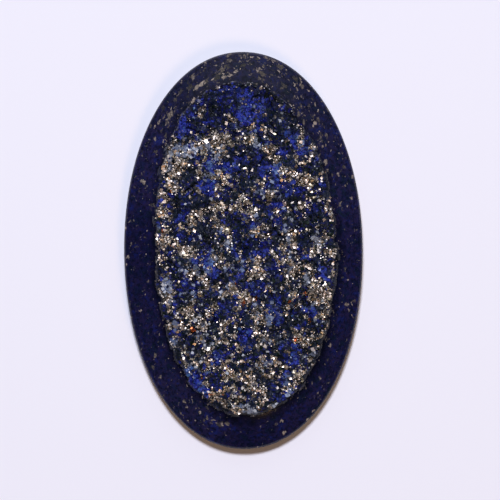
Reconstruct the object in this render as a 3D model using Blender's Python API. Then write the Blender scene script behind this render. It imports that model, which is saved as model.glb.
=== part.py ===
"""Lapis lazuli cabochon with a rough natural face.

One stone: a flat back, a bevelled girdle, a polished shoulder that slopes up from it,
and in the middle the broken skin of the rock, with its lumps, ledges and pits.
Metres, +Z up, +Y along the stone, the origin in the middle of the flat back.
"""

from math import atan2, exp, floor, hypot, pi, sqrt

import bmesh
import bpy
from mathutils import Vector, noise

MM = 0.001

# Outline, seen from above: an oval slightly squarer than an ellipse.
LENGTH = 42.0 * MM
WIDTH = 25.2 * MM
OUTLINE_POWER = 2.07

# Side wall, from the flat back up.
BACK_BEVEL = 0.45 * MM
GIRDLE_HEIGHT = 1.90 * MM

# Polished shoulder: its slope at the girdle, how fast it flattens inwards, and the
# small rounding where it meets the girdle.
SHOULDER_WIDTH = 7.0 * MM
SHOULDER_SLOPE = 0.87
SHOULDER_CURVE = 0.066 / MM
EDGE_ROUND = 0.14 * MM
EDGE_ROUND_REACH = 0.10 * MM
WELL_INSIDE = 0.30

# Width of the band of polish left round the natural face, in twelve places
# anticlockwise from +X, and how far its inner edge wanders where chips broke off.
RIM_WIDTHS = [
    width * MM
    for width in (2.75, 3.15, 3.35, 3.40, 2.95, 2.80, 3.35, 3.45, 3.45, 3.35, 3.00, 2.90)
]
RIM_WANDER = 0.40 * MM
RIM_WANDER_SPAN = 2.2 * MM
RIM_CHIP_SPAN = 0.7 * MM

# Step up from the polish to the natural face, in the same twelve places.
STEPS = [
    step * MM
    for step in (0.25, 0.20, 0.08, 0.00, 0.08, 0.20, 0.30, 0.40, 0.50, 0.60, 0.50, 0.35)
]
STEP_REACH = 0.30 * MM

# Natural face: its crown above the rim, then its relief, each as a height and a span.
# The relief is gentler within a strip along the rim.
CROWN = 0.40 * MM
EDGE_STRIP = 2.0 * MM
EDGE_RELIEF = 0.55
SWELL = 0.30 * MM
SWELL_SPAN = 7.0 * MM
LUMP = 0.34 * MM
LUMP_SPAN = 2.4 * MM
CHIP = 0.13 * MM
CHIP_SPAN = 1.7 * MM
CHIP_TILT = 0.55

# The upper end of the natural face lies lower, behind a ragged ledge.
LEDGE_DROP = 0.38 * MM
LEDGE_Y = 11.3 * MM
LEDGE_WANDER = 1.1 * MM
LEDGE_WANDER_SPAN = 5.0 * MM
LEDGE_SLOPE = 0.8 * MM

# Pits in the natural face: where, how wide and how deep.
PITS = (
    (Vector((-5.2, -13.7)) * MM, 1.6 * MM, 0.50 * MM),
    (Vector((1.6, 1.2)) * MM, 1.9 * MM, 0.34 * MM),
    (Vector((-5.4, 0.6)) * MM, 1.3 * MM, 0.30 * MM),
    (Vector((4.7, -11.6)) * MM, 1.6 * MM, 0.36 * MM),
    (Vector((-3.0, 14.2)) * MM, 1.7 * MM, 0.32 * MM),
    (Vector((-0.2, -9.6)) * MM, 1.4 * MM, 0.28 * MM),
    (Vector((6.6, 9.0)) * MM, 1.5 * MM, 0.30 * MM),
)

# How finely the face is divided across and along, and the noise's fixed place.
ACROSS = 50
ALONG = 84
NOISE_PLACE = Vector((3.7, 8.1, 2.4))

COLOUR = (0.018, 0.020, 0.085, 1.0)
ROUGHNESS = 0.32
METALLIC = 0.0
SMOOTH_ANGLE = 35.0 * pi / 180.0


def outline_radius(x, y):
    """0 in the middle of the oval and 1 on its edge."""
    across = abs(x / (WIDTH / 2.0)) ** OUTLINE_POWER
    along = abs(y / (LENGTH / 2.0)) ** OUTLINE_POWER
    return (across + along) ** (1.0 / OUTLINE_POWER)


def edge_distance(x, y):
    """Distance in from the edge of the oval, as far as the shoulder reaches."""
    radius = outline_radius(x, y)
    if radius < WELL_INSIDE:
        return SHOULDER_WIDTH
    power = OUTLINE_POWER - 1.0
    across = (abs(x) / (WIDTH / 2.0) / radius) ** power / (WIDTH / 2.0)
    along = (abs(y) / (LENGTH / 2.0) / radius) ** power / (LENGTH / 2.0)
    return min(SHOULDER_WIDTH, max(0.0, 1.0 - radius) / hypot(across, along))


def shoulder_height(distance):
    """Height of the polished shoulder at a distance in from the edge."""
    rounding = EDGE_ROUND * (1.0 - exp(-distance / EDGE_ROUND_REACH))
    rise = SHOULDER_SLOPE * distance - SHOULDER_CURVE * distance ** 2
    return GIRDLE_HEIGHT + rounding + rise


def soft_step(value):
    """0 below 0, 1 above 1 and smooth between them."""
    value = min(max(value, 0.0), 1.0)
    return value * value * (3.0 - 2.0 * value)


def relief(x, y, span, layer):
    """Smooth noise, about -1 to 1, whose lumps are one span apart."""
    return noise.noise(NOISE_PLACE + Vector((x / span, y / span, 7.3 * layer)))


def chip_height(x, y):
    """Broken crystal faces: each cell has a flat of its own height and tilt."""
    place = NOISE_PLACE + Vector((x / CHIP_SPAN, y / CHIP_SPAN, 0.0))
    middle = noise.voronoi(place)[1][0]
    level = noise.cell(middle * 9.1)
    tilt = noise.cell_vector(middle * 5.3) - Vector((0.5, 0.5, 0.5))
    return CHIP * level + CHIP_TILT * CHIP_SPAN * tilt.xy.dot((place - middle).xy)


def round_the_oval(x, y, values):
    """The value in the direction of a point, from values all round from +X."""
    turn = atan2(y / LENGTH, x / WIDTH) / (2.0 * pi) * len(values)
    before = floor(turn)
    here = values[before % len(values)]
    following = values[(before + 1) % len(values)]
    return here + (following - here) * soft_step(turn - before)


def rim_width(x, y):
    """Width of the polished band, which ends where chips have broken off."""
    place = NOISE_PLACE + Vector((x / RIM_CHIP_SPAN, y / RIM_CHIP_SPAN, 3.1))
    chip = noise.cell_vector(noise.voronoi(place)[1][0] * 7.7).x - 0.5
    ragged = relief(x, y, RIM_WANDER_SPAN, 15) + chip
    return round_the_oval(x, y, RIM_WIDTHS) + RIM_WANDER * ragged


def natural_height(x, y):
    """Height of the natural face, which stands a step above the shoulder."""
    rim = round_the_oval(x, y, RIM_WIDTHS)
    inner = soft_step((edge_distance(x, y) - rim) / EDGE_STRIP)
    uneven = SWELL * relief(x, y, SWELL_SPAN, 1) + LUMP * relief(x, y, LUMP_SPAN, 2)
    uneven += chip_height(x, y)
    height = shoulder_height(rim) + CROWN * (1.0 - outline_radius(x, y) ** 2)
    height += round_the_oval(x, y, STEPS)
    height += uneven * (EDGE_RELIEF + (1.0 - EDGE_RELIEF) * inner)
    ledge = LEDGE_Y + LEDGE_WANDER * relief(x, 0.0, LEDGE_WANDER_SPAN, 3)
    height -= LEDGE_DROP * inner * soft_step((y - ledge) / LEDGE_SLOPE)
    for middle, reach, depth in PITS:
        away = (Vector((x, y)) - middle).length / reach
        height -= depth * (1.0 - soft_step(away))
    return height


def face_height(x, y):
    """The shoulder as far as the polish goes, and the natural face inside it."""
    distance = edge_distance(x, y)
    shoulder = shoulder_height(distance)
    inside = soft_step((distance - rim_width(x, y)) / STEP_REACH)
    return shoulder + (natural_height(x, y) - shoulder) * inside


def oval_place(across, along):
    """Takes a point of a square, -1 to 1 each way, to the oval."""
    x = across * sqrt(1.0 - along ** 2 / 2.0)
    y = along * sqrt(1.0 - across ** 2 / 2.0)
    radius = hypot(x, y)
    corner = (abs(x) ** OUTLINE_POWER + abs(y) ** OUTLINE_POWER) ** (1.0 / OUTLINE_POWER)
    if corner > 0.0:
        x *= radius / corner
        y *= radius / corner
    return x * WIDTH / 2.0, y * LENGTH / 2.0


def shape_face(mesh):
    """The upper face: a grid drawn out to the oval and raised to its height."""
    bmesh.ops.create_grid(mesh, x_segments=ACROSS, y_segments=ALONG, size=1.0)
    for vertex in mesh.verts:
        x, y = oval_place(vertex.co.x, vertex.co.y)
        vertex.co = (x, y, face_height(x, y))
    bmesh.ops.triangulate(mesh, faces=mesh.faces, quad_method="SHORT_EDGE")


def draw_down(mesh, edges, height, inset):
    """Draws a ring of edges down to a height, and in towards the middle."""
    drawn = bmesh.ops.extrude_edge_only(mesh, edges=edges)["geom"]
    verts = [item for item in drawn if isinstance(item, bmesh.types.BMVert)]
    bmesh.ops.scale(
        mesh,
        verts=verts,
        vec=(1.0 - inset / (WIDTH / 2.0), 1.0 - inset / (LENGTH / 2.0), 1.0),
    )
    for vertex in verts:
        vertex.co.z = height
    return [item for item in drawn if isinstance(item, bmesh.types.BMEdge)]


def shape_side_and_back(mesh):
    """The straight girdle, the bevel under it and the flat back."""
    girdle = [edge for edge in mesh.edges if edge.is_boundary]
    wall = draw_down(mesh, girdle, BACK_BEVEL, 0.0)
    bevel = draw_down(mesh, wall, 0.0, BACK_BEVEL)
    bmesh.ops.contextual_create(mesh, geom=bevel)
    bmesh.ops.recalc_face_normals(mesh, faces=mesh.faces)


def stone_material():
    """Polished lapis: deep indigo and glossy."""
    material = bpy.data.materials.new("lapis")
    material.use_nodes = True
    shader = material.node_tree.nodes["Principled BSDF"]
    shader.inputs["Base Color"].default_value = COLOUR
    shader.inputs["Roughness"].default_value = ROUGHNESS
    shader.inputs["Metallic"].default_value = METALLIC
    material.diffuse_color = COLOUR
    return material


def build_stone():
    """The stone as one closed body."""
    mesh = bmesh.new()
    shape_face(mesh)
    shape_side_and_back(mesh)
    data = bpy.data.meshes.new("lapis_stone")
    mesh.to_mesh(data)
    mesh.free()
    data.shade_smooth()
    data.set_sharp_from_angle(angle=SMOOTH_ANGLE)
    data.materials.append(stone_material())
    stone = bpy.data.objects.new("lapis_stone", data)
    bpy.context.collection.objects.link(stone)
    return stone


for leftover in list(bpy.data.objects):
    bpy.data.objects.remove(leftover, do_unlink=True)

build_stone()
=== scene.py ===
"""Looks of the rough-faced lapis lazuli cabochon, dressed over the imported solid.

Metres, +Z up, +Y along the stone. The stone lies on its flat back, rough face up.
"""

from math import atan2, cos, exp, floor, hypot, pi, radians, sin, sqrt
from random import Random

import bmesh
import bpy
from mathutils import Euler, Matrix, Vector, noise


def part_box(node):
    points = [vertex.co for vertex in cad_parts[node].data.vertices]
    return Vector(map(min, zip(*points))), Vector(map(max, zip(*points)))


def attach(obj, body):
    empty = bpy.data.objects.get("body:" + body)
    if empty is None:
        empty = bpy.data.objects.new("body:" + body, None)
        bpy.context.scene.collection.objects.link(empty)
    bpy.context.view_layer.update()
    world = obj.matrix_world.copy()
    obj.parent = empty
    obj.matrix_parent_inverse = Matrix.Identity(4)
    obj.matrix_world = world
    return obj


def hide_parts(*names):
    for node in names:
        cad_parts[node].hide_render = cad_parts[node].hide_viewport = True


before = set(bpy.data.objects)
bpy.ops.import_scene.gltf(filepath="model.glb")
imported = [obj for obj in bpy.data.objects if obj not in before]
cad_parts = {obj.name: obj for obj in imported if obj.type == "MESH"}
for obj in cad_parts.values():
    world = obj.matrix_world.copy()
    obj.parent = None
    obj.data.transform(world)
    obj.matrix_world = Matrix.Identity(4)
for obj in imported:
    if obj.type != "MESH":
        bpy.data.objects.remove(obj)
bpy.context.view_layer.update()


# Camera
# It looks almost straight down on the stone from half a metre, through a long lens,
# and is turned a little, because the stone leans slightly to the left in the picture.
MM = 0.001
CAMERA_DISTANCE = 0.50
CAMERA_ELEVATION = radians(87.5)
CAMERA_ROLL = radians(0.45)
CAMERA_AIM = Vector((0.70, 0.0, 1.9)) * MM
PICTURE_HEIGHT = 52.85 * MM
SENSOR = 36.0
NEAREST_SEEN = 0.01

scene = bpy.context.scene
camera_data = bpy.data.cameras.new("camera")
camera_data.sensor_width = SENSOR
camera_data.lens = SENSOR * CAMERA_DISTANCE / PICTURE_HEIGHT
camera_data.clip_start = NEAREST_SEEN
camera = bpy.data.objects.new("camera", camera_data)
scene.collection.objects.link(camera)
towards_camera = Vector((0.0, -cos(CAMERA_ELEVATION), sin(CAMERA_ELEVATION)))
picture_up = Vector((sin(CAMERA_ROLL), cos(CAMERA_ROLL), 0.0))
picture_up = (picture_up - picture_up.dot(towards_camera) * towards_camera).normalized()
picture_right = picture_up.cross(towards_camera)
camera.matrix_world = Matrix.Translation(CAMERA_AIM + towards_camera * CAMERA_DISTANCE) @ (
    Matrix((picture_right, picture_up, towards_camera)).transposed().to_4x4()
)
scene.camera = camera


# Light
# A cool lamp high up beyond the top of the picture, a weak warm one lower down beyond
# its foot and to the right, and a dim room that is brighter beyond the top. For each
# lamp: its tilt from straight above, its bearing, its size, its power and its colour.
LAMP_DISTANCE = 0.60
LAMPS = (
    ("main_lamp", 16.6, 96.0, 0.105, 3.60, (0.82, 0.835, 0.985)),
    ("warm_lamp", 37.0, -65.0, 0.20, 0.68, (1.0, 0.62, 0.27)),
)
ROOM_BRIGHTEST = Vector((0.0, 0.80, 0.60))
ROOM_COLOURS = (
    (0.45, (0.014, 0.024, 0.060)),
    (0.70, (0.012, 0.024, 0.070)),
    (0.85, (0.05, 0.06, 0.10)),
    (0.95, (0.24, 0.25, 0.25)),
)

for name, tilt, bearing, size, power, colour in LAMPS:
    lamp_data = bpy.data.lights.new(name, "AREA")
    lamp_data.shape = "DISK"
    lamp_data.size = size
    lamp_data.energy = power
    lamp_data.color = colour
    lamp = bpy.data.objects.new(name, lamp_data)
    level = sin(radians(tilt))
    towards_lamp = Vector(
        (level * cos(radians(bearing)), level * sin(radians(bearing)), cos(radians(tilt)))
    )
    lamp.location = towards_lamp * LAMP_DISTANCE
    lamp.rotation_euler = towards_lamp.to_track_quat("Z", "Y").to_euler()
    scene.collection.objects.link(lamp)

world = bpy.data.worlds.new("room")
world.use_nodes = True
nodes = world.node_tree.nodes
links = world.node_tree.links
room = nodes["Background"]
direction = nodes.new("ShaderNodeTexCoord").outputs["Generated"]
towards = nodes.new("ShaderNodeVectorMath")
towards.operation = "DOT_PRODUCT"
towards.inputs[1].default_value = ROOM_BRIGHTEST / 2.0
links.new(direction, towards.inputs[0])
middle = nodes.new("ShaderNodeMath")
middle.operation = "ADD"
middle.inputs[1].default_value = 0.5
links.new(towards.outputs["Value"], middle.inputs[0])
levels = nodes.new("ShaderNodeValToRGB")
while len(levels.color_ramp.elements) < len(ROOM_COLOURS):
    levels.color_ramp.elements.new(0.5)
for element, (position, colour) in zip(levels.color_ramp.elements, ROOM_COLOURS):
    element.position = position
    element.color = (*colour, 1.0)
links.new(middle.outputs[0], levels.inputs["Fac"])
links.new(levels.outputs["Color"], room.inputs["Color"])
scene.world = world
scene.view_settings.view_transform = "Standard"


# Floor
# A plain sheet of pale paper that the stone lies on with its flat back. It takes the
# stone's shadow and throws light back on its edge, and is no part of the stone.
FLOOR_SIZE = 1.2
PAPER = (0.86, 0.86, 0.88, 1.0)
PAPER_ROUGHNESS = 0.9
PAPER_GLOSS = 0.2

mesh = bmesh.new()
bmesh.ops.create_grid(mesh, x_segments=1, y_segments=1, size=FLOOR_SIZE / 2.0)
floor_data = bpy.data.meshes.new("floor")
mesh.to_mesh(floor_data)
mesh.free()
paper = bpy.data.materials.new("paper")
paper.use_nodes = True
shader = paper.node_tree.nodes["Principled BSDF"]
shader.inputs["Base Color"].default_value = PAPER
shader.inputs["Roughness"].default_value = PAPER_ROUGHNESS
shader.inputs["Specular IOR Level"].default_value = PAPER_GLOSS
floor_data.materials.append(paper)
floor_piece = bpy.data.objects.new("floor", floor_data)
scene.collection.objects.link(floor_piece)


# Stone
# One oval of lapis lazuli, sawn flat behind and ground round its edge. The shoulder is
# polished, and the middle keeps the broken skin of the rock.

# Outline and side wall.
LOW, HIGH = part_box("lapis_stone")
WIDTH = HIGH.x - LOW.x
LENGTH = HIGH.y - LOW.y
OUTLINE_POWER = 2.07
BACK_BEVEL = 0.45 * MM
GIRDLE_HEIGHT = 1.90 * MM

# Polished shoulder: its slope at the girdle, how fast it flattens inwards, and the
# small rounding where it meets the girdle. Points nearer the middle than a share of the
# way out count as well inside it.
SHOULDER_WIDTH = 7.0 * MM
SHOULDER_SLOPE = 0.87
SHOULDER_CURVE = 0.066 / MM
EDGE_ROUND = 0.05 * MM
EDGE_ROUND_REACH = 0.06 * MM
WELL_INSIDE = 0.30

# Width of the band of polish left round the rough face, in twelve places anticlockwise
# from +X, how far its inner edge wanders, and the step up from it in the same places.
RIM_WIDTHS = [
    width * MM
    for width in (2.75, 3.15, 3.35, 3.40, 2.95, 2.80, 3.35, 3.45, 3.45, 3.35, 3.00, 2.90)
]
RIM_WANDER = 0.40 * MM
RIM_WANDER_SPAN = 2.2 * MM
RIM_CHIP_SPAN = 0.7 * MM
STEPS = [
    step * MM
    for step in (0.25, 0.20, 0.08, 0.00, 0.08, 0.20, 0.30, 0.40, 0.50, 0.60, 0.50, 0.35)
]
STEP_REACH = 0.30 * MM

# Rough face: its crown above the rim and its lumps and chips, each as a height and a
# span, gentler within a strip along the rim. Its upper end lies lower, behind a ledge.
CROWN = 0.40 * MM
EDGE_STRIP = 2.0 * MM
EDGE_RELIEF = 0.55
SWELL = 0.30 * MM
SWELL_SPAN = 7.0 * MM
LUMP = 0.34 * MM
LUMP_SPAN = 2.4 * MM
CHIP = 0.13 * MM
CHIP_SPAN = 1.7 * MM
CHIP_TILT = 0.55
LEDGE_DROP = 0.38 * MM
LEDGE_Y = 11.3 * MM
LEDGE_WANDER = 1.1 * MM
LEDGE_WANDER_SPAN = 5.0 * MM
LEDGE_SLOPE = 0.8 * MM

# Pits in the rough face: where, how wide and how deep.
PITS = (
    (Vector((-5.2, -13.7)) * MM, 1.6 * MM, 0.50 * MM),
    (Vector((1.6, 1.2)) * MM, 1.9 * MM, 0.34 * MM),
    (Vector((-5.4, 0.6)) * MM, 1.3 * MM, 0.30 * MM),
    (Vector((4.7, -11.6)) * MM, 1.6 * MM, 0.36 * MM),
    (Vector((-3.0, 14.2)) * MM, 1.7 * MM, 0.32 * MM),
    (Vector((-0.2, -9.6)) * MM, 1.4 * MM, 0.28 * MM),
    (Vector((6.6, 9.0)) * MM, 1.5 * MM, 0.30 * MM),
)
NOISE_PLACE = Vector((3.7, 8.1, 2.4))

# Fine relief of the rough face, below the solid's lumps: pits and chips between the
# grains, and grit, which is coarser where there is pyrite.
GRAIN_PIT = 0.14 * MM
GRAIN_PIT_SPAN = 0.75 * MM
GRAIN_CHIP = 0.05 * MM
GRAIN_CHIP_SPAN = 0.42 * MM
GRAIN_CHIP_TILT = 0.6
GRAIN_SINK = 0.10 * MM
GRIT = 0.012 * MM
BRASS_GRIT = 0.026 * MM
GRIT_SHIFT = 0.035 * MM
GRIT_FROM = 0.9
FINE_ACROSS = 220
FINE_ALONG = 362
SMOOTH_FROM = 0.98


def outline_radius(x, y):
    """0 in the middle of the oval and 1 on its edge."""
    across = abs(x / (WIDTH / 2.0)) ** OUTLINE_POWER
    along = abs(y / (LENGTH / 2.0)) ** OUTLINE_POWER
    return (across + along) ** (1.0 / OUTLINE_POWER)


def edge_distance(x, y):
    """Distance in from the edge of the oval, as far as the shoulder reaches."""
    radius = outline_radius(x, y)
    if radius < WELL_INSIDE:
        return SHOULDER_WIDTH
    power = OUTLINE_POWER - 1.0
    across = (abs(x) / (WIDTH / 2.0) / radius) ** power / (WIDTH / 2.0)
    along = (abs(y) / (LENGTH / 2.0) / radius) ** power / (LENGTH / 2.0)
    return min(SHOULDER_WIDTH, max(0.0, 1.0 - radius) / hypot(across, along))


def shoulder_height(distance):
    """Height of the polished shoulder at a distance in from the edge."""
    rounding = EDGE_ROUND * (1.0 - exp(-distance / EDGE_ROUND_REACH))
    return (
        GIRDLE_HEIGHT
        + rounding
        + SHOULDER_SLOPE * distance
        - SHOULDER_CURVE * distance ** 2
    )


def soft_step(value):
    """0 below 0, 1 above 1 and smooth between them."""
    value = min(max(value, 0.0), 1.0)
    return value * value * (3.0 - 2.0 * value)


def relief(x, y, span, layer):
    """Smooth noise, about -1 to 1, whose lumps are one span apart."""
    return noise.noise(NOISE_PLACE + Vector((x / span, y / span, 7.3 * layer)))


def chip_height(x, y, level, span, slope):
    """Broken crystal faces: each cell has a flat of its own height and tilt."""
    place = NOISE_PLACE + Vector((x / span, y / span, 0.0))
    middle = noise.voronoi(place)[1][0]
    tilt = noise.cell_vector(middle * 5.3) - Vector((0.5, 0.5, 0.5))
    lift = level * noise.cell(middle * 9.1)
    return lift + slope * span * tilt.xy.dot((place - middle).xy)


def round_the_oval(x, y, values):
    """The value in the direction of a point, from values all round from +X."""
    turn = atan2(y / LENGTH, x / WIDTH) / (2.0 * pi) * len(values)
    before = floor(turn)
    here = values[before % len(values)]
    following = values[(before + 1) % len(values)]
    return here + (following - here) * soft_step(turn - before)


def cell_shares(x, y, span):
    """Three values of its own, 0 to 1, for each broken cell about one span across."""
    place = NOISE_PLACE + Vector((x / span, y / span, 3.1))
    return noise.cell_vector(noise.voronoi(place)[1][0] * 7.7)


def rim_width(x, y):
    """Width of the polished band, which ends where chips have broken off."""
    ragged = relief(x, y, RIM_WANDER_SPAN, 15) + cell_shares(x, y, RIM_CHIP_SPAN).x - 0.5
    return round_the_oval(x, y, RIM_WIDTHS) + RIM_WANDER * ragged


def rough_height(x, y):
    """Height of the rough face's lumps, which stand a step above the shoulder."""
    rim = round_the_oval(x, y, RIM_WIDTHS)
    inner = soft_step((edge_distance(x, y) - rim) / EDGE_STRIP)
    uneven = SWELL * relief(x, y, SWELL_SPAN, 1) + LUMP * relief(x, y, LUMP_SPAN, 2)
    uneven += chip_height(x, y, CHIP, CHIP_SPAN, CHIP_TILT)
    height = shoulder_height(rim) + CROWN * (1.0 - outline_radius(x, y) ** 2)
    height += round_the_oval(x, y, STEPS)
    height += uneven * (EDGE_RELIEF + (1.0 - EDGE_RELIEF) * inner)
    ledge = LEDGE_Y + LEDGE_WANDER * relief(x, 0.0, LEDGE_WANDER_SPAN, 3)
    height -= LEDGE_DROP * inner * soft_step((y - ledge) / LEDGE_SLOPE)
    for middle, reach, depth in PITS:
        away = (Vector((x, y)) - middle).length / reach
        height -= depth * (1.0 - soft_step(away))
    return height


def grain_relief(x, y):
    """How far the fine relief lies below the lumps: always more than nothing."""
    pit = GRAIN_PIT * (0.5 - 0.5 * relief(x, y, GRAIN_PIT_SPAN, 5))
    chip = chip_height(x, y, GRAIN_CHIP, GRAIN_CHIP_SPAN, GRAIN_CHIP_TILT)
    return GRAIN_SINK + pit - chip


def oval_place(across, along):
    """Takes a point of a square, -1 to 1 each way, to the oval."""
    x = across * sqrt(1.0 - along ** 2 / 2.0)
    y = along * sqrt(1.0 - across ** 2 / 2.0)
    radius = hypot(x, y)
    corner = (abs(x) ** OUTLINE_POWER + abs(y) ** OUTLINE_POWER) ** (1.0 / OUTLINE_POWER)
    if corner > 0.0:
        x *= radius / corner
        y *= radius / corner
    return x * WIDTH / 2.0, y * LENGTH / 2.0


def draw_down(mesh, edges, height, inset):
    """Draws a ring of edges down to a height, and in towards the middle."""
    drawn = bmesh.ops.extrude_edge_only(mesh, edges=edges)["geom"]
    verts = [item for item in drawn if isinstance(item, bmesh.types.BMVert)]
    bmesh.ops.scale(
        mesh,
        verts=verts,
        vec=(1.0 - inset / (WIDTH / 2.0), 1.0 - inset / (LENGTH / 2.0), 1.0),
    )
    for vertex in verts:
        vertex.co.z = height
    return [item for item in drawn if isinstance(item, bmesh.types.BMEdge)]


# Where the minerals lie on the rough face, as streaks: from x, y to x, y and the reach to
# either side, in millimetres from the middle of the stone, and the strength.
BLUE_STREAKS = (
    (-6.7, 14.1, -6.2, 12.6, 0.8, 1.2), (-1.3, 17.1, -0.5, 16.4, 0.7, 0.9),
    (0.5, 15.6, 0.5, 14.2, 1.2, 1.0), (1.3, 14.6, 2.2, 15.8, 0.7, 0.6),
    (-5.0, 12.6, -2.9, 13.3, 0.7, 0.5), (5.0, 12.3, 6.3, 10.5, 0.7, 0.9),
    (0.3, 9.5, -0.5, 8.9, 0.7, 0.8), (-3.3, 8.7, -1.8, 8.4, 0.8, 0.9),
    (-4.0, 6.8, -3.4, 6.2, 0.9, 1.0), (2.0, 7.9, 3.4, 8.2, 0.8, 0.9),
    (3.8, 7.2, 5.0, 6.4, 0.9, 0.9), (2.6, 6.8, 1.2, 6.0, 0.7, 0.7),
    (2.8, 3.9, 3.9, 4.2, 0.8, 0.8), (2.0, 3.0, 0.3, 2.5, 0.6, 0.6),
    (1.5, 1.4, 2.2, 0.0, 0.9, 0.5), (1.3, -0.6, 0.1, -1.3, 0.6, 0.7),
    (-6.6, 3.4, -6.6, 3.2, 0.6, 1.0), (-4.3, -1.2, -3.4, -2.3, 0.9, 1.0),
    (-6.1, -3.5, -6.1, -3.3, 0.6, 0.8), (-3.4, -4.4, -3.2, -4.4, 0.7, 0.7),
    (0.7, -4.7, 1.5, -4.0, 0.6, 0.7), (3.0, -5.5, 3.4, -7.4, 0.8, 0.8),
    (6.3, -6.4, 7.2, -6.6, 0.6, 1.0), (6.3, -8.3, 6.1, -8.3, 0.7, 0.6),
    (0.1, -9.0, 0.5, -10.1, 0.8, 0.9), (4.8, -10.6, 5.3, -11.8, 1.0, 0.6),
    (4.6, -13.0, 4.2, -14.4, 0.6, 0.7), (-2.6, -11.4, -2.6, -11.2, 0.7, 1.0),
    (-6.2, -13.0, -4.5, -14.9, 0.8, 1.7), (-3.4, -14.2, -3.2, -14.2, 0.5, 0.7),
    (8.7, -3.0, 8.3, -2.2, 0.5, 0.9), (6.0, 0.0, 6.8, -0.7, 0.7, 0.7),
    (8.1, 6.8, 8.1, 6.4, 0.7, 0.5),
)
PALE_STREAKS = (
    (-7.0, 10.3, -5.4, 10.4, 0.7, 0.9), (-3.9, 10.8, -2.2, 10.6, 0.7, 0.8),
    (-2.9, 9.9, -3.3, 8.7, 0.6, 0.6), (-8.1, 11.1, -7.7, 8.9, 0.5, 0.7),
    (1.0, 11.7, 1.4, 11.0, 0.4, 0.9), (6.1, 11.6, 6.1, 11.2, 0.5, 0.6),
    (1.4, 5.9, 3.5, 5.7, 0.5, 0.6), (-5.6, 3.2, -5.6, 2.8, 0.5, 0.7),
    (-2.0, 1.9, -1.3, 0.2, 0.5, 0.6), (-8.2, -3.6, -7.8, -5.4, 0.5, 0.9),
    (-7.4, -7.6, -7.2, -8.0, 0.5, 0.7), (-4.5, -9.3, -3.7, -10.1, 0.6, 0.7),
    (-6.3, -12.6, -6.1, -13.0, 0.5, 0.5), (-0.9, -16.7, 0.6, -17.1, 0.6, 0.7),
    (0.0, -4.9, 0.4, -4.9, 0.5, 0.6), (-0.6, -1.9, -0.2, -1.9, 0.5, 0.5),
    (4.5, 2.5, 4.9, 0.4, 0.4, 0.5), (8.1, 0.4, 7.6, 1.2, 0.5, 0.8),
    (3.9, -1.3, 4.1, -1.3, 0.4, 0.6), (6.3, -3.6, 6.8, -2.8, 0.5, 0.6),
    (5.3, -4.4, 5.7, -4.6, 0.5, 0.5), (2.0, -7.2, 1.3, -5.9, 0.5, 0.5),
    (4.5, -13.6, 4.8, -15.7, 0.5, 0.6), (-4.9, -2.5, -5.3, -1.2, 0.4, 0.5),
    (7.7, -7.7, 7.9, -7.7, 0.4, 0.5), (1.9, -9.6, 1.9, -9.4, 0.5, 0.4),
    (1.9, -12.5, 2.9, -12.1, 0.5, 0.5), (-2.6, 7.6, -4.4, 8.0, 0.5, 0.6),
    (-3.3, -1.0, -4.4, -3.2, 0.5, 0.6), (2.6, -8.0, 2.9, -5.6, 0.4, 0.5),
    (-1.2, -3.4, -2.3, -5.2, 0.4, 0.5), (-6.7, -13.5, -5.5, -15.3, 0.2, 0.9),
)
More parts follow.
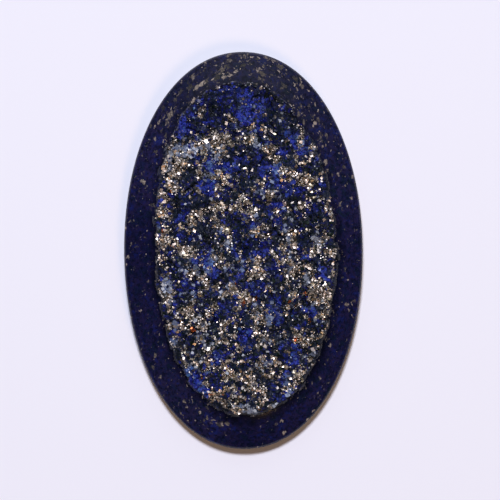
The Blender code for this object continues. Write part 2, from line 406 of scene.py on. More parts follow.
PYRITE_STREAKS = (
    (-8.5, 11.5, -7.9, 10.8, 0.5, 0.8), (-4.3, 11.5, -1.6, 11.7, 0.6, 1.0),
    (-4.6, 10.2, -4.4, 10.2, 0.5, 0.6), (2.3, 12.5, 3.0, 10.6, 0.5, 0.9),
    (6.4, 12.6, 6.1, 11.5, 0.4, 0.9), (4.6, 15.8, 4.2, 15.2, 0.4, 0.5),
    (-4.1, 15.0, -4.5, 14.2, 0.4, 0.7), (-1.4, 14.2, -1.0, 13.5, 0.4, 0.6),
    (2.1, 16.7, 2.3, 16.7, 0.4, 0.5), (-8.1, 9.2, -7.5, 8.3, 0.5, 0.7),
    (-7.9, 6.4, -7.1, 6.8, 0.5, 0.8), (-9.4, 5.2, -8.7, 2.6, 0.5, 0.2),
    (-9.0, 1.7, -9.0, 1.5, 0.5, 0.8), (-1.3, 7.0, -2.0, 7.6, 0.5, 0.7),
    (0.3, 5.2, 0.5, 3.8, 0.6, 0.8), (3.3, 5.6, 3.5, 5.6, 0.5, 0.5),
    (6.4, 4.6, 5.8, 3.8, 0.5, 0.7), (8.4, 7.8, 7.5, 7.1, 0.4, 0.5),
    (-5.6, 3.0, -5.0, 3.8, 0.5, 1.0), (-1.5, 1.5, -2.3, 2.6, 0.5, 0.9),
    (-7.8, 0.9, -5.9, -0.3, 0.6, 1.0), (-8.7, -0.8, -8.1, -2.5, 0.5, 0.8),
    (-1.9, -1.2, -2.7, -0.6, 0.5, 0.7), (5.1, 1.5, 5.3, 0.4, 0.5, 0.9),
    (8.1, 0.4, 7.5, -0.3, 0.5, 0.9), (9.5, 1.2, 9.5, -0.7, 0.4, 0.8),
    (3.8, -1.3, 3.2, -0.4, 0.4, 0.9), (-1.2, -3.9, 0.6, -5.3, 0.6, 1.0),
    (1.8, -2.8, 2.0, -2.8, 0.6, 0.7), (7.4, -3.6, 8.6, -5.0, 0.5, 0.8),
    (8.9, -6.0, 8.0, -7.2, 0.5, 0.9), (7.2, -9.6, 6.3, -10.0, 0.5, 0.6),
    (-6.1, -6.5, -4.4, -8.0, 0.8, 1.1), (-3.8, -6.9, -3.0, -5.9, 0.5, 0.8),
    (-5.7, -8.6, -6.8, -8.0, 0.5, 0.8), (-7.2, -9.2, -8.3, -9.7, 0.4, 0.6),
    (-3.8, -10.7, -4.1, -12.6, 0.5, 0.8), (-1.9, -12.9, 0.1, -13.5, 0.6, 0.9),
    (1.9, -11.6, 1.4, -12.7, 0.5, 0.8), (3.1, -12.5, 2.5, -13.3, 0.5, 0.8),
    (2.7, -9.3, 2.1, -8.5, 0.5, 0.7), (5.4, -14.2, 6.8, -11.8, 0.5, 0.8),
    (-2.2, -15.0, -3.6, -15.9, 0.5, 0.8), (-2.0, -16.2, -0.8, -17.1, 0.5, 0.8),
    (1.2, -15.5, 2.0, -16.0, 0.5, 0.8),
)
DARK_STREAKS = (
    (-3.1, 15.5, -2.2, 14.3, 1.2, 0.9), (-5.1, 13.2, -4.9, 13.2, 0.8, 0.5),
    (4.5, 15.2, 3.4, 13.5, 1.2, 0.8), (5.4, 13.9, 5.6, 13.9, 0.8, 0.7),
    (3.5, 11.6, 4.4, 10.5, 0.6, 0.8), (6.8, 9.0, 7.0, 8.8, 1.0, 0.7),
    (8.1, 4.3, 7.1, 3.3, 1.0, 0.8), (-7.2, 4.7, -5.1, 4.8, 0.8, 0.8),
    (-1.7, 5.4, -1.5, 5.4, 0.7, 0.6), (-0.8, 2.8, -0.6, 0.6, 0.6, 0.8),
    (-3.3, 0.7, -5.0, 1.2, 0.5, 0.6), (-4.2, -5.6, -3.6, -5.0, 0.8, 0.9),
    (-1.6, -8.9, -3.0, -9.1, 0.7, 0.4), (-7.3, -11.6, -6.1, -11.8, 0.7, 0.7),
    (-5.8, -10.3, -5.6, -10.3, 0.6, 0.6), (-2.3, -2.7, -3.1, -3.6, 0.6, 0.6),
    (5.8, -5.5, 6.0, -5.5, 0.6, 0.6), (4.3, -8.1, 5.1, -7.6, 0.6, 0.6),
    (9.2, 6.5, 9.2, 6.1, 0.7, 0.5), (-0.9, 9.7, 1.4, 8.5, 0.5, 0.5),
    (-5.9, 8.1, -5.7, 8.1, 0.6, 0.6), (3.3, 1.9, 4.1, 1.0, 0.5, 0.5),
    (6.6, -1.9, 7.9, -1.3, 0.5, 0.5), (-2.7, 3.4, -3.9, 3.6, 0.5, 0.5),
    (-0.5, -11.4, 1.2, -10.8, 0.5, 0.5), (-9.2, 4.4, -8.8, 3.2, 0.5, 0.6),
)

# Flush pyrite in the polished rim, as the same kind of streaks.
FLECK_STREAKS = (
    (-5.4, 17.2, -2.6, 18.5, 0.4, 1.0), (0.8, 20.4, 1.8, 20.3, 0.2, 1.0),
    (3.0, 19.4, 4.0, 19.2, 0.4, 1.0), (1.9, 18.9, 3.0, 18.4, 0.5, 1.0),
    (-1.8, 19.3, -1.6, 19.3, 0.2, 1.0), (-1.4, 18.6, -1.1, 18.6, 0.3, 0.7),
    (0.6, 18.5, 0.9, 18.5, 0.2, 0.9), (1.6, 18.1, 2.2, 18.1, 0.3, 0.7),
    (4.7, 18.8, 4.9, 18.7, 0.3, 0.8), (5.7, 17.4, 5.8, 17.2, 0.2, 1.0),
    (5.4, 15.6, 5.9, 15.0, 0.2, 1.0), (7.1, 14.9, 8.1, 13.4, 0.4, 1.0),
    (8.3, 11.8, 8.6, 11.1, 0.4, 0.8), (-6.4, 15.6, -5.7, 16.4, 0.3, 0.9),
    (-8.0, 14.1, -7.0, 14.9, 0.3, 1.0), (-8.1, 13.2, -8.0, 13.0, 0.3, 0.6),
    (-9.2, 14.2, -9.0, 14.2, 0.3, 0.6), (-10.2, 11.4, -10.2, 11.2, 0.2, 1.0),
    (-8.5, 11.0, -8.3, 11.0, 0.4, 0.9), (-10.6, 10.8, -10.6, 10.6, 0.2, 0.6),
    (-9.2, 10.4, -9.1, 10.2, 0.2, 0.7), (-9.5, 4.8, -9.6, 4.2, 0.4, 0.8),
    (-10.1, 1.7, -10.1, 1.3, 0.3, 0.6), (9.7, 3.7, 9.8, 3.2, 0.3, 0.8),
    (10.8, -2.0, 10.7, -2.5, 0.2, 1.0), (11.3, -4.2, 11.3, -4.4, 0.2, 0.9),
    (11.6, 7.8, 11.6, 7.6, 0.2, 0.9), (9.6, -2.3, 9.6, -2.7, 0.3, 0.6),
    (10.8, -5.9, 11.2, -6.4, 0.2, 1.0), (9.2, -6.3, 9.1, -6.9, 0.4, 0.8),
    (8.2, -9.1, 8.2, -9.5, 0.3, 0.8), (6.5, -11.9, 6.3, -12.3, 0.5, 0.8),
    (-9.3, -11.1, -9.5, -11.4, 0.3, 1.0), (-8.6, -10.2, -8.6, -10.4, 0.2, 0.8),
    (-4.6, -15.7, -4.8, -16.0, 0.4, 1.0), (-5.0, -16.8, -4.8, -17.1, 0.3, 1.0),
    (-2.6, -18.4, -1.9, -18.6, 0.4, 0.9),
)

# How much fleck there is in the rim, in the twelve places of RIM_WIDTHS.
FLECK_SHARES = (0.10, 0.45, 0.85, 0.80, 0.85, 0.25, 0.00, 0.12, 0.40, 0.00, 0.12, 0.10)

# Painted shade on the polish beside the rough face, standing in for the step's shadow:
# how far it reaches, and how much farther, and how strong it is, at the foot and at the
# upper end of the stone.
PAINTED_SHADE_REACH = 0.8 * MM
PAINTED_SHADE_REACH_AT_FOOT = 0.3 * MM
PAINTED_SHADE_AT_TOP = 0.60
PAINTED_SHADE_AT_FOOT = 0.40

# How far the flecks are drawn out along the rim.
FLECK_SQUEEZE = 0.70

# The upper end of the rough face is dark blue, with little pyrite.
UPPER_END = 11.6 * MM
UPPER_FADE = 1.5 * MM

# No streak reaches farther than this from where it starts, in millimetres.
LONGEST_STREAK = 4.5

# Spans of the patches, spots, cells and gaps in which the minerals lie, and how far they
# thin out towards the edge of the rough face and towards its left side.
LAZURITE_PATCH = 3.1 * MM
LAZURITE_SPOT = 1.1 * MM
CALCITE_SPOT = 1.3 * MM
PYRITE_PATCH = 1.8 * MM
PYRITE_SPOT = 0.8 * MM
MINERAL_CELL = 0.50 * MM
MINERAL_GAP = 0.55 * MM
EDGE_FADE = 1.8 * MM
LEFT_FADE = 5.0 * MM
STREAK_WANDER = 1.3 * MM
STREAK_FRAY = 0.5 * MM


def streak_weight(x, y, streaks):
    """Strength of the strongest streak at a point, with ragged edges."""
    ragged = 0.55 * relief(x, y, STREAK_WANDER, 8) + 0.50 * relief(x, y, STREAK_FRAY, 9)
    weight = 0.0
    for start_x, start_y, end_x, end_y, reach, strength in streaks:
        right = x / MM - start_x
        up = y / MM - start_y
        if abs(up) > LONGEST_STREAK or strength < weight:
            continue
        run_x = end_x - start_x
        run_y = end_y - start_y
        along = (right * run_x + up * run_y) / (run_x ** 2 + run_y ** 2)
        along = min(max(along, 0.0), 1.0)
        away = hypot(right - along * run_x, up - along * run_y) / reach
        weight = max(weight, strength * soft_step((1.35 - away + ragged) / 0.9))
    return weight


def minerals(x, y):
    """How blue the lazurite is, and how much calcite and pyrite there is, 0 to 1.

    Each starts from a base level. Patches, spots, cells and gaps make it uneven, streaks
    raise it, and dark places and the upper end lower it.
    """
    shares = cell_shares(x, y, MINERAL_CELL)
    gaps = relief(x, y, MINERAL_GAP, 22)
    edge = 1.0 - soft_step((edge_distance(x, y) - rim_width(x, y)) / EDGE_FADE)
    edge *= soft_step(0.6 + x / LEFT_FADE)
    dark = streak_weight(x, y, DARK_STREAKS)
    upper = soft_step((y - UPPER_END) / UPPER_FADE)

    blue = 0.20 + 0.42 * relief(x, y, LAZURITE_PATCH, 11)
    blue += 0.40 * relief(x, y, LAZURITE_SPOT, 12)
    blue += 0.24 * upper
    blue = max(blue * (1.0 - 0.6 * dark), 0.95 * streak_weight(x, y, BLUE_STREAKS))
    blue += 0.60 * (shares.x - 0.5) + 0.25 * gaps - 0.35 * upper * edge

    pale = 0.08 + 0.45 * relief(x, y, CALCITE_SPOT, 13) - 0.2 * dark - 0.1 * upper
    pale = max(pale, 0.95 * streak_weight(x, y, PALE_STREAKS))
    pale += 0.50 * (shares.y - 0.5) + 0.30 * gaps - 0.5 * upper * edge

    brass = 0.42 + 0.50 * relief(x, y, PYRITE_PATCH, 14)
    brass += 0.45 * relief(x, y, PYRITE_SPOT, 17)
    brass -= 0.45 * dark + 0.45 * blue + 0.35 * upper + 0.5 * upper * edge
    brass = max(brass, 0.78 * streak_weight(x, y, PYRITE_STREAKS))
    brass += 0.60 * (shares.z - 0.5) - 0.40 * gaps
    return [min(max(value, 0.0), 1.0) for value in (blue, pale, brass)]


# The upper face is a grid drawn out to the oval. It carries what its material needs:
# where it is polished, which minerals lie there, and where it lies on the rim.
chance = Random(3)
mesh = bmesh.new()
bmesh.ops.create_grid(mesh, x_segments=FINE_ACROSS, y_segments=FINE_ALONG, size=1.0)
polish = mesh.verts.layers.float.new("polish")
blue = mesh.verts.layers.float.new("blue")
pale = mesh.verts.layers.float.new("pale")
brass = mesh.verts.layers.float.new("brass")
flecks = mesh.verts.layers.float.new("flecks")
# Painted shade on the polish beside the rough face.
near = mesh.verts.layers.float.new("near")
share = mesh.verts.layers.float.new("share")
band = mesh.verts.layers.float_vector.new("band")
for vertex in mesh.verts:
    x, y = oval_place(vertex.co.x, vertex.co.y)
    nudge = [chance.uniform(-1.0, 1.0) for _ in range(3)]
    distance = edge_distance(x, y)
    shoulder = shoulder_height(distance)
    rim = rim_width(x, y)
    inside = soft_step((distance - rim) / STEP_REACH)
    vertex[polish] = 1.0 - inside
    # Painted shade beside the rough face, wider and stronger towards the foot.
    lower = soft_step(0.5 - 1.6 * y / LENGTH)
    painted_shade_reach = PAINTED_SHADE_REACH + PAINTED_SHADE_REACH_AT_FOOT * lower
    vertex[near] = 1.0 - min(max((rim - distance) / painted_shade_reach, 0.0), 1.0)
    vertex[near] *= PAINTED_SHADE_AT_TOP + PAINTED_SHADE_AT_FOOT * lower
    vertex[share] = round_the_oval(x, y, FLECK_SHARES)
    radius = max(outline_radius(x, y), WELL_INSIDE)
    vertex[band] = (FLECK_SQUEEZE * x / radius, FLECK_SQUEEZE * y / radius, distance)
    if inside > 0.0:
        vertex[blue], vertex[pale], vertex[brass] = minerals(x, y)
        fine = rough_height(x, y) - grain_relief(x, y)
        fine += nudge[2] * (GRIT + BRASS_GRIT * vertex[brass])
        if inside > GRIT_FROM:
            x += nudge[0] * GRIT_SHIFT
            y += nudge[1] * GRIT_SHIFT
        vertex.co = (x, y, shoulder + (fine - shoulder) * inside)
    else:
        vertex.co = (x, y, shoulder)
        streak = streak_weight(x, y, FLECK_STREAKS)
        vertex[flecks] = 0.8 * (vertex[share] - 0.5) * (1.0 - streak) + streak
for face in mesh.faces:
    face.smooth = min(vertex[polish] for vertex in face.verts) > SMOOTH_FROM

# The straight girdle, the bevel under it and the flat back.
girdle = [edge for edge in mesh.edges if edge.is_boundary]
for edge in girdle:
    edge.smooth = False
wall = draw_down(mesh, girdle, BACK_BEVEL, 0.0)
bevel = draw_down(mesh, wall, 0.0, BACK_BEVEL)
bmesh.ops.contextual_create(mesh, geom=bevel)
for vertex in mesh.verts:
    if vertex.co.z < GIRDLE_HEIGHT:
        vertex[polish] = 1.0
        vertex[band] = (*vertex[band].xy, vertex.co.z - GIRDLE_HEIGHT)
bmesh.ops.recalc_face_normals(mesh, faces=mesh.faces)
stone_data = bpy.data.meshes.new("stone")
mesh.to_mesh(stone_data)
mesh.free()
stone = bpy.data.objects.new("stone", stone_data)
scene.collection.objects.link(stone)
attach(stone, "root")
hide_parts("lapis_stone")


def new_material(name):
    """A material with its node tree and its shader."""
    material = bpy.data.materials.new(name)
    material.use_nodes = True
    return material, material.node_tree, material.node_tree.nodes["Principled BSDF"]


def join(tree, outlet, inlet):
    """Leads one node's outlet to another's inlet."""
    tree.links.new(outlet, inlet)


def attribute(tree, name):
    """A value that the mesh carries."""
    node = tree.nodes.new("ShaderNodeAttribute")
    node.attribute_name = name
    return node.outputs["Fac"]


def coordinates(tree):
    """Places in the stone."""
    return tree.nodes.new("ShaderNodeTexCoord").outputs["Object"]


def noise_texture(tree, span, detail, roughness):
    """Cloudy unevenness whose clouds are about one span across."""
    node = tree.nodes.new("ShaderNodeTexNoise")
    node.inputs["Scale"].default_value = 1.0 / span
    node.inputs["Detail"].default_value = detail
    node.inputs["Roughness"].default_value = roughness
    join(tree, coordinates(tree), node.inputs["Vector"])
    return node.outputs["Fac"]


def along_the_rim(tree):
    """Places on the rim, squeezed lengthways so that what lies there is drawn out."""
    node = tree.nodes.new("ShaderNodeAttribute")
    node.attribute_name = "band"
    return node.outputs["Vector"]


def shaken(tree, place, span, amount):
    """Places moved about a little, so that what lies there has a ragged edge."""
    noise_node = tree.nodes.new("ShaderNodeTexNoise")
    noise_node.inputs["Scale"].default_value = 1.0 / span
    join(tree, place, noise_node.inputs["Vector"])
    moved = tree.nodes.new("ShaderNodeVectorMath")
    moved.operation = "MULTIPLY_ADD"
    join(tree, noise_node.outputs["Color"], moved.inputs[0])
    moved.inputs[1].default_value = (amount, amount, amount)
    join(tree, place, moved.inputs[2])
    return moved.outputs["Vector"]


def dot_texture(tree, span, place):
    """Dots about one span apart: how far inside one a point is, and the dot's own tone."""
    node = tree.nodes.new("ShaderNodeTexVoronoi")
    node.inputs["Scale"].default_value = 1.0 / span
    join(tree, place, node.inputs["Vector"])
    parts = tree.nodes.new("ShaderNodeSeparateColor")
    join(tree, node.outputs["Color"], parts.inputs["Color"])
    size = arithmetic(tree, "MULTIPLY", parts.outputs[0], 0.6)
    inside = arithmetic(tree, "SUBTRACT", size, node.outputs["Distance"])
    return arithmetic(tree, "ADD", inside, 0.5), parts.outputs[1]


def cell_texture(tree, span):
    """A value of its own for each grain-sized cell."""
    node = tree.nodes.new("ShaderNodeTexVoronoi")
    node.inputs["Scale"].default_value = 1.0 / span
    join(tree, coordinates(tree), node.inputs["Vector"])
    parts = tree.nodes.new("ShaderNodeSeparateColor")
    join(tree, node.outputs["Color"], parts.inputs["Color"])
    return parts.outputs[0]


def ramp(tree, value, stops):
    """Colours along a value."""
    node = tree.nodes.new("ShaderNodeValToRGB")
    elements = node.color_ramp.elements
    while len(elements) < len(stops):
        elements.new(0.5)
    for element, (position, colour) in zip(elements, stops):
        element.position = position
        element.color = (*colour, 1.0)
    join(tree, value, node.inputs["Fac"])
    return node.outputs["Color"]


def grey_ramp(tree, value, stops):
    """Levels along a value."""
    return ramp(tree, value, [(position, (level,) * 3) for position, level in stops])


def mix(tree, share, first, second, kind="MIX"):
    """The first colour, and as much of the second as the share says."""
    node = tree.nodes.new("ShaderNodeMix")
    node.data_type = "RGBA"
    node.blend_type = kind
    for inlet, value in ((0, share), (6, first), (7, second)):
        if hasattr(value, "is_linked"):
            join(tree, value, node.inputs[inlet])
        else:
            node.inputs[inlet].default_value = value
    return node.outputs[2]


def arithmetic(tree, operation, first, second):
    """One sum on two values, either of which may come from a node."""
    node = tree.nodes.new("ShaderNodeMath")
    node.operation = operation
    for inlet, value in ((0, first), (1, second)):
        if hasattr(value, "is_linked"):
            join(tree, value, node.inputs[inlet])
        else:
            node.inputs[inlet].default_value = value
    return node.outputs[0]


def spread(tree, value, by, amount):
    """A value made uneven by a texture that runs from 0 to 1."""
    centred = arithmetic(tree, "SUBTRACT", by, 0.5)
    return arithmetic(tree, "ADD", value, arithmetic(tree, "MULTIPLY", centred, amount))


# Polished rim: indigo with violet and green clouds, duller where it is full of flecks,
# deeper blue where it has none, mottled black, and with painted shade beside the rough
# face.
RIM_CLOUD = 1.3 * MM
RIM_STOPS = (
    (0.30, (0.0070, 0.0140, 0.0160)),
    (0.39, (0.0080, 0.0130, 0.0330)),
    (0.46, (0.0100, 0.0110, 0.0520)),
    (0.52, (0.0210, 0.0140, 0.0430)),
    (0.59, (0.0110, 0.0130, 0.0800)),
    (0.70, (0.0150, 0.0240, 0.1400)),
)
FLECKED_RIM = (0.0095, 0.0125, 0.0220, 1.0)
PLAIN_RIM = (0.0016, 0.0018, 0.0170, 1.0)
MOTTLE_SPAN = 0.40 * MM
MOTTLE = (0.0020, 0.0026, 0.0080, 1.0)
# The colour of the painted shade beside the rough face.
RIM_PAINTED_SHADE = (0.0012, 0.0011, 0.0030, 1.0)

# Flecks, in two sizes: how far apart, how much their number follows where they lie, and
# from which level on. They gather in drifts and have ragged edges and uneven tones.
FLECK_SIZES = ((0.28 * MM, 0.24, 0.58), (0.56 * MM, 0.32, 0.50))
FLECK_EDGE = 0.15
FLECK_DRIFT = 2.2 * MM
FLECK_RAGGED_SPAN = 0.30 * MM
FLECK_RAGGED = 0.70 * MM
FLECK_TONE_SPAN = 0.16 * MM
FLECK_STOPS = (
    (0.0, (0.022, 0.022, 0.022)),
    (0.5, (0.100, 0.084, 0.068)),
    (1.0, (0.370, 0.305, 0.240)),
)

# Rough face: lazurite from black to bright blue, a grey sea-green haze over parts of
# it, calcite that is grey or stained blue, and pyrite from dull to bright.
LAZURITE_CELL = 0.23 * MM
LAZURITE_CLOUD = 0.5 * MM
LAZURITE_STOPS = (
    (0.0, (0.0026, 0.0038, 0.0062)),
    (0.25, (0.0062, 0.0086, 0.0200)),
    (0.55, (0.0050, 0.0060, 0.0460)),
    (0.80, (0.0046, 0.0060, 0.1080)),
    (1.0, (0.0220, 0.0360, 0.2700)),
)
HAZE_SPAN = 1.4 * MM
HAZE = (0.0075, 0.0135, 0.0280, 1.0)
CALCITE_FRAY = 0.28 * MM
GREY_CALCITE = (0.20, 0.215, 0.25, 1.0)
BLUE_CALCITE = (0.08, 0.14, 0.28, 1.0)
PYRITE_FRAY = 0.20 * MM
PYRITE_CELL = 0.17 * MM
PYRITE_STOPS = (
    (0.0, (0.010, 0.010, 0.009)),
    (0.50, (0.048, 0.044, 0.034)),
    (0.80, (0.20, 0.176, 0.136)),
    (1.0, (0.60, 0.53, 0.45)),
)

# Masks and levels that are led to the shader as greys.
NONE = (0.0, 0.0, 0.0, 1.0)
METALLIC = (0.9, 0.9, 0.9, 1.0)
PYRITE_ROUGHNESS = (0.42, 0.42, 0.42, 1.0)
ROUGHNESS_BY_POLISH = ((0.90, 0.50), (1.0, 0.15))
GLOSS_BY_POLISH = ((0.0, 0.12), (1.0, 0.50))

stone_material, tree, shader = new_material("lapis")
cloud = noise_texture(tree, RIM_CLOUD, detail=5.0, roughness=0.75)
rim_colour = ramp(tree, cloud, RIM_STOPS)
fleck_share = attribute(tree, "share")
flecked_mask = grey_ramp(tree, fleck_share, ((0.1, 0.0), (0.9, 0.50)))
rim_colour = mix(tree, flecked_mask, rim_colour, FLECKED_RIM)
plain_mask = grey_ramp(tree, fleck_share, ((0.0, 0.50), (0.25, 0.0)))
rim_colour = mix(tree, plain_mask, rim_colour, PLAIN_RIM)
mottle = noise_texture(tree, MOTTLE_SPAN, detail=3.0, roughness=0.7)
mottle_mask = grey_ramp(tree, mottle, ((0.36, 0.20), (0.56, 1.0)))
rim_colour = mix(tree, mottle_mask, MOTTLE, rim_colour)
# Painted shade on the polish beside the rough face, where its step shades it.
painted_shade_mask = grey_ramp(tree, attribute(tree, "near"), ((0.1, 0.0), (0.9, 0.92)))
rim_colour = mix(tree, painted_shade_mask, rim_colour, RIM_PAINTED_SHADE)

drift = noise_texture(tree, FLECK_DRIFT, detail=2.0, roughness=0.5)
fleck_place = spread(tree, attribute(tree, "flecks"), drift, 0.9)
rim_place = shaken(tree, along_the_rim(tree), FLECK_RAGGED_SPAN, FLECK_RAGGED)
for span, reach, least in FLECK_SIZES:
    fleck, tone = dot_texture(tree, span, rim_place)
    fleck = spread(tree, fleck, fleck_place, reach)
    fleck_mask = grey_ramp(tree, fleck, ((least, 0.0), (least + FLECK_EDGE, 1.0)))
    uneven = noise_texture(tree, FLECK_TONE_SPAN, detail=2.0, roughness=0.6)
    fleck_colour = ramp(tree, spread(tree, tone, uneven, 1.4), FLECK_STOPS)
    rim_colour = mix(tree, fleck_mask, rim_colour, fleck_colour)

cloud = noise_texture(tree, LAZURITE_CLOUD, detail=3.0, roughness=0.6)
depth = spread(tree, attribute(tree, "blue"), cell_texture(tree, LAZURITE_CELL), 1.0)
rough_colour = ramp(tree, spread(tree, depth, cloud, 1.6), LAZURITE_STOPS)
haze = noise_texture(tree, HAZE_SPAN, detail=4.0, roughness=0.6)
haze_mask = grey_ramp(tree, haze, ((0.46, 0.0), (0.60, 0.60)))
rough_colour = mix(tree, haze_mask, rough_colour, HAZE)

fray = noise_texture(tree, CALCITE_FRAY, detail=3.0, roughness=0.65)
calcite_share = spread(tree, attribute(tree, "pale"), fray, 1.3)
calcite_mask = grey_ramp(tree, calcite_share, ((0.38, 0.0), (0.72, 0.8)))
calcite_colour = mix(tree, attribute(tree, "blue"), GREY_CALCITE, BLUE_CALCITE)
rough_colour = mix(tree, calcite_mask, rough_colour, calcite_colour)

fray = noise_texture(tree, PYRITE_FRAY, detail=3.0, roughness=0.65)
pyrite_share = spread(tree, attribute(tree, "brass"), fray, 1.1)
pyrite_mask = grey_ramp(tree, pyrite_share, ((0.50, 0.0), (0.58, 1.0)))
pyrite_colour = ramp(tree, cell_texture(tree, PYRITE_CELL), PYRITE_STOPS)
rough_colour = mix(tree, pyrite_mask, rough_colour, pyrite_colour)

polish_mask = attribute(tree, "polish")
metal_mask = mix(tree, polish_mask, pyrite_mask, NONE)
colour = mix(tree, polish_mask, rough_colour, rim_colour)
metallic = mix(tree, metal_mask, NONE, METALLIC)
roughness = grey_ramp(tree, polish_mask, ROUGHNESS_BY_POLISH)
roughness = mix(tree, metal_mask, roughness, PYRITE_ROUGHNESS)
gloss = grey_ramp(tree, polish_mask, GLOSS_BY_POLISH)
join(tree, colour, shader.inputs["Base Color"])
join(tree, metallic, shader.inputs["Metallic"])
join(tree, roughness, shader.inputs["Roughness"])
join(tree, gloss, shader.inputs["Specular IOR Level"])
stone_data.materials.append(stone_material)


# Mineral grains
# The rough face is an aggregate of crystals a tenth to half a millimetre across:
# brassy pyrite, pale calcite and blue lazurite, each broken along its own flats.

# Shapes of broken block, as shares of a grain's size: the block, how far out its corners
# are drawn, how far they are shifted, and how the whole is stretched and then laid flat.
SHAPES = 14
BLOCK_SIZE = 0.72
CORNERS_OUT = (0.70, 1.20)
CORNER_SHIFT = 0.12
STRETCH = (0.65, 1.25)
LYING_FLAT = 0.75

# How far a grain's middle stands out of the relief, as a share of its size, how far it
# keeps from the polish, how much oftener grains are small than large, and the span over
# which neighbours are alike in brightness.
STANDING_OUT = 0.10
RIM_CLEARANCE = 0.2 * MM
SMALLNESS = 3
SHADE_SPAN = 0.9 * MM

# Where grains of pyrite have rusted, in millimetres from the middle of the stone, and
# how near such a place a grain lies. Other hues stop short of the hue of rust.
RUST = (
    (-7.7, 6.1), (-8.7, 2.0), (-7.5, 0.2), (-0.7, -3.7), (0.0, -5.8), (-3.5, -7.2),
    (-5.5, -8.3), (-3.5, -10.3), (-4.3, -13.4), (-3.6, -15.3), (-2.0, -15.4), (1.4, -5.2),
    (4.7, -5.4), (5.5, -5.9), (6.4, -4.9), (6.8, -7.6), (8.2, -7.5), (5.3, -9.5),
)
RUST_REACH = 0.26 * MM
LAST_CLEAN_HUE = 0.98
RUST_HUE = 1.0


def chip_shape(name, seed):
    """One broken crystal, about 1 across: a block whose corners were knocked about."""
    chance = Random(seed)
    mesh = bmesh.new()
    bmesh.ops.create_cube(mesh, size=BLOCK_SIZE)
    for vertex in mesh.verts:
        vertex.co *= chance.uniform(*CORNERS_OUT)
        shift = [chance.uniform(-CORNER_SHIFT, CORNER_SHIFT) for _ in range(3)]
        vertex.co += Vector(shift)
    bmesh.ops.triangulate(mesh, faces=mesh.faces)
    data = bpy.data.meshes.new(name)
    mesh.to_mesh(data)
    mesh.free()
    return data


chip_shapes = [chip_shape("chip", seed) for seed in range(SHAPES)]


def scatter(name, seed, spacing, smallest, largest, wanted, material):
    """Joins chips into one piece, in shaken rows, where the mineral is wanted."""
    chance = Random(seed)
    joined = bmesh.new()
    shades = []
    hues = []
    blues = []
    rows = int(LENGTH / spacing)
    columns = int(WIDTH / spacing)
    for row in range(rows):
        for column in range(columns):
            x = (column - columns / 2.0 + 0.5 * (row % 2)) * spacing
            y = (row - rows / 2.0) * spacing
            x += chance.uniform(-0.5, 0.5) * spacing
            y += chance.uniform(-0.5, 0.5) * spacing
            size = smallest + (largest - smallest) * chance.random() ** SMALLNESS
            turn = Euler([chance.uniform(0.0, 2.0 * pi) for _ in range(3)])
            stretch = Vector([chance.uniform(*STRETCH) for _ in range(3)])
            number = chance.randrange(SHAPES)
            draw = chance.random()
            shade = 0.5 * chance.random() + 0.25 + 0.45 * relief(x, y, SHADE_SPAN, 21)
            shade = min(max(shade, 0.0), 1.0)
            hue = LAST_CLEAN_HUE * chance.random()
            if edge_distance(x, y) < rim_width(x, y) + RIM_CLEARANCE:
                continue
            values = minerals(x, y)
            if draw > wanted(*values):
                continue
            height = rough_height(x, y) - grain_relief(x, y) + STANDING_OUT * size
            matrix = (
                Matrix.Translation((x, y, height))
                @ Matrix.Diagonal((1.0, 1.0, LYING_FLAT, 1.0))
                @ turn.to_matrix().to_4x4()
                @ Matrix.Diagonal((*(stretch * size), 1.0))
            )
            piece = chip_shapes[number].copy()
            piece.transform(matrix)
            joined.from_mesh(piece)
            if any(hypot(x - right * MM, y - up * MM) < RUST_REACH for right, up in RUST):
                hue = RUST_HUE
            shades.extend([shade] * len(piece.vertices))
            hues.extend([hue] * len(piece.vertices))
            blues.extend([values[0]] * len(piece.vertices))
            bpy.data.meshes.remove(piece)
    data = bpy.data.meshes.new(name)
    joined.to_mesh(data)
    joined.free()
    for key, levels in (("shade", shades), ("hue", hues), ("blue", blues)):
        layer = data.attributes.new(key, "FLOAT", "POINT")
        layer.data.foreach_set("value", levels)
    data.materials.append(material)
    piece = bpy.data.objects.new(name, data)
    scene.collection.objects.link(piece)
    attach(piece, "root")


def tinted(tree, brightness, tint):
    """A grain's brightness, coloured by its tint."""
    return mix(tree, 1.0, brightness, tint, "MULTIPLY")


# Pyrite: a brassy metal, from tarnished to bright, and yellow, olive or rust red.
PYRITE_BRIGHTNESS = (
    (0.0, (0.09, 0.08, 0.07)),
    (0.4, (0.46, 0.42, 0.37)),
    (0.7, (0.74, 0.69, 0.63)),
    (1.0, (0.82, 0.79, 0.75)),
)
PYRITE_TINTS = (
    (0.0, (1.0, 0.99, 0.98)),
    (0.5, (1.0, 0.935, 0.875)),
    (0.72, (1.0, 0.87, 0.76)),
    (0.86, (0.86, 0.82, 0.60)),
    (LAST_CLEAN_HUE, (0.95, 0.74, 0.66)),
    (RUST_HUE, (0.66, 0.20, 0.08)),
)


def pyrite_wanted(blue, pale, brass):
    """How likely a grain of pyrite is."""
    return 0.02 + 0.84 * soft_step((brass - 0.25) / 0.5)


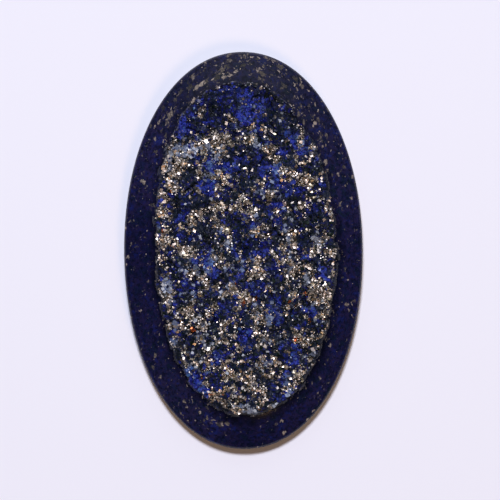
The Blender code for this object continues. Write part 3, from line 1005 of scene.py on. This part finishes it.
pyrite, tree, shader = new_material("pyrite")
brightness = ramp(tree, attribute(tree, "shade"), PYRITE_BRIGHTNESS)
tint = ramp(tree, attribute(tree, "hue"), PYRITE_TINTS)
roughness = grey_ramp(tree, attribute(tree, "shade"), ((0.0, 0.55), (1.0, 0.40)))
join(tree, tinted(tree, brightness, tint), shader.inputs["Base Color"])
join(tree, roughness, shader.inputs["Roughness"])
shader.inputs["Metallic"].default_value = 1.0
scatter(
    "pyrite_grains",
    seed=7,
    spacing=0.155 * MM,
    smallest=0.11 * MM,
    largest=0.42 * MM,
    wanted=pyrite_wanted,
    material=pyrite,
)

# Calcite: pale grey and a little glossy, stained blue beside the lazurite.
CALCITE_BRIGHTNESS = (
    (0.0, (0.08, 0.10, 0.13)),
    (0.5, (0.24, 0.26, 0.29)),
    (1.0, (0.54, 0.56, 0.57)),
)
CALCITE_TINTS = ((0.3, (1.0, 1.0, 1.0)), (1.0, (0.30, 0.50, 1.0)))


def calcite_wanted(blue, pale, brass):
    """How likely a grain of calcite is."""
    return 0.02 + 0.75 * soft_step((pale - 0.25) / 0.5) * (1.0 - brass)


calcite, tree, shader = new_material("calcite")
brightness = ramp(tree, attribute(tree, "shade"), CALCITE_BRIGHTNESS)
tint = ramp(tree, attribute(tree, "blue"), CALCITE_TINTS)
join(tree, tinted(tree, brightness, tint), shader.inputs["Base Color"])
shader.inputs["Roughness"].default_value = 0.35
scatter(
    "calcite_grains",
    seed=8,
    spacing=0.24 * MM,
    smallest=0.14 * MM,
    largest=0.50 * MM,
    wanted=calcite_wanted,
    material=calcite,
)

# Lazurite: from black to bright blue, and from violet blue to green blue.
LAZURITE_TINTS = ((0.3, (1.0, 1.0, 1.0)), (1.0, (1.8, 2.7, 0.75)))


def lazurite_wanted(blue, pale, brass):
    """How likely a grain of lazurite is."""
    return 0.60 * (1.0 - 0.85 * brass) * (1.0 - 0.6 * pale)


lazurite, tree, shader = new_material("lazurite")
depth = spread(tree, attribute(tree, "blue"), attribute(tree, "shade"), 1.2)
brightness = ramp(tree, depth, LAZURITE_STOPS)
tint = ramp(tree, attribute(tree, "hue"), LAZURITE_TINTS)
join(tree, tinted(tree, brightness, tint), shader.inputs["Base Color"])
shader.inputs["Roughness"].default_value = 0.30
shader.inputs["Specular IOR Level"].default_value = 0.20
scatter(
    "lazurite_grains",
    seed=9,
    spacing=0.21 * MM,
    smallest=0.12 * MM,
    largest=0.42 * MM,
    wanted=lazurite_wanted,
    material=lazurite,
)

for shape in chip_shapes:
    bpy.data.meshes.remove(shape)
